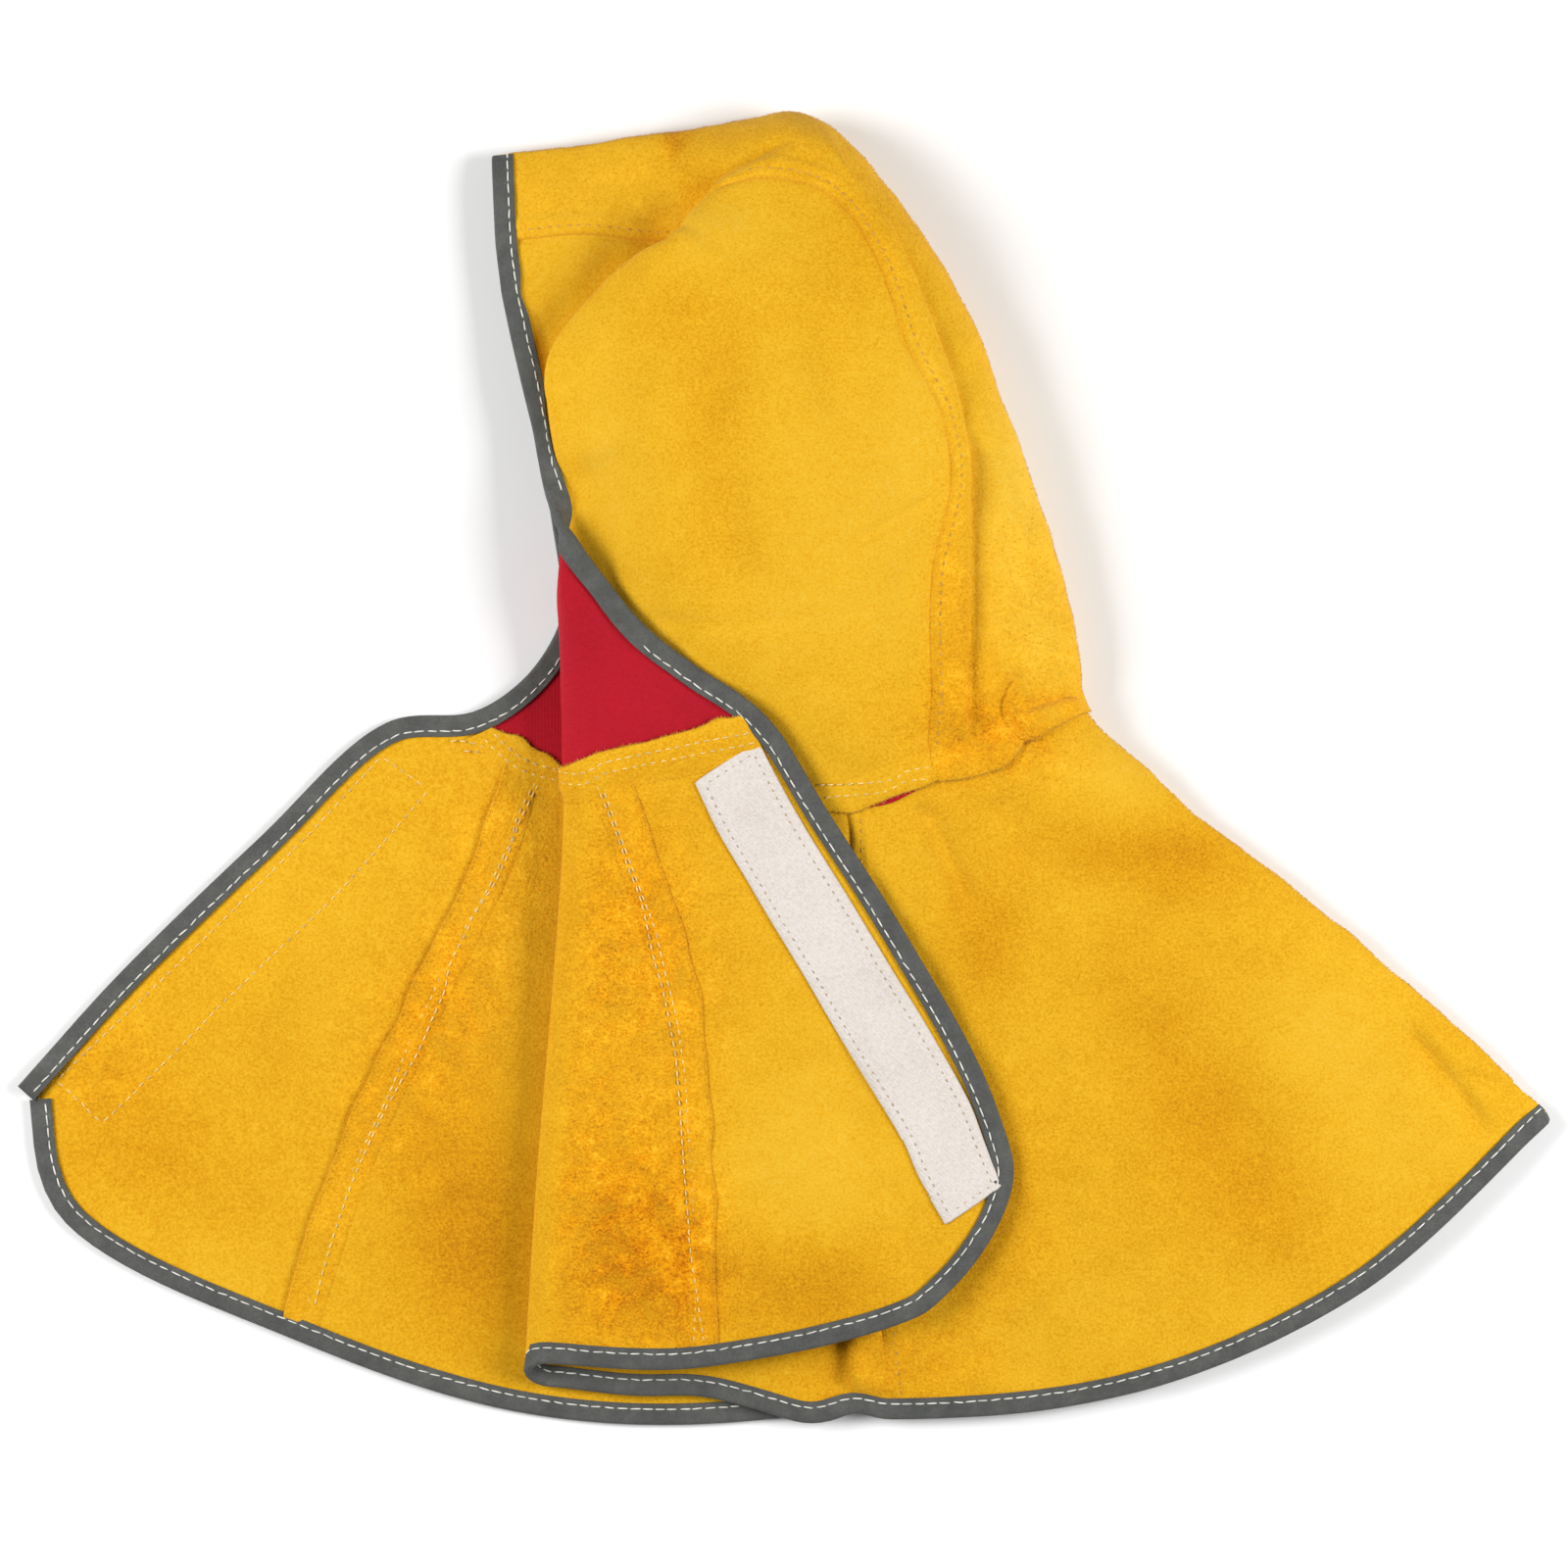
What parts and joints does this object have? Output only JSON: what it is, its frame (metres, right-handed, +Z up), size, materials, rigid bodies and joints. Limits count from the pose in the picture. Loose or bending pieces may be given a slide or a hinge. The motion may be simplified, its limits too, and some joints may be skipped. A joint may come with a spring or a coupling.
{
  "type": "welding hood",
  "caption": "Soft split-leather welding hood with a flared shoulder cape, red cotton lining and dark bound edges, lying on its side with one front turned back.",
  "frame": {"origin": "centre of the outline seen from above, on the floor", "axes": "+Z up from the floor that the hood lies on, +X from the face opening towards the back of the head, +Y from the cape towards the crown"},
  "size_m": [0.7784, 0.6614, 0.0621],
  "materials": {
    "suede": "matte napped split leather, golden yellow",
    "cotton_lining": "matte red plain-woven cotton",
    "binding": "matte dark grey-green woven strip",
    "fastening_tape": "off-white looped or hooked pile on woven tape",
    "thread": "matte off-white sewing thread"
  },
  "bodies": {
    "root": {"side_panel_left": "suede", "crown_strip": "suede", "side_panel_right": "suede", "lining": "cotton_lining", "cape_front_left": "suede", "cape_shoulder_left": "suede", "cape_back": "suede", "cape_shoulder_right": "suede", "cape_front_right": "suede", "edge_binding": "binding", "loop_tape": "fastening_tape", "hook_tape": "fastening_tape"}
  },
  "joints": []
}
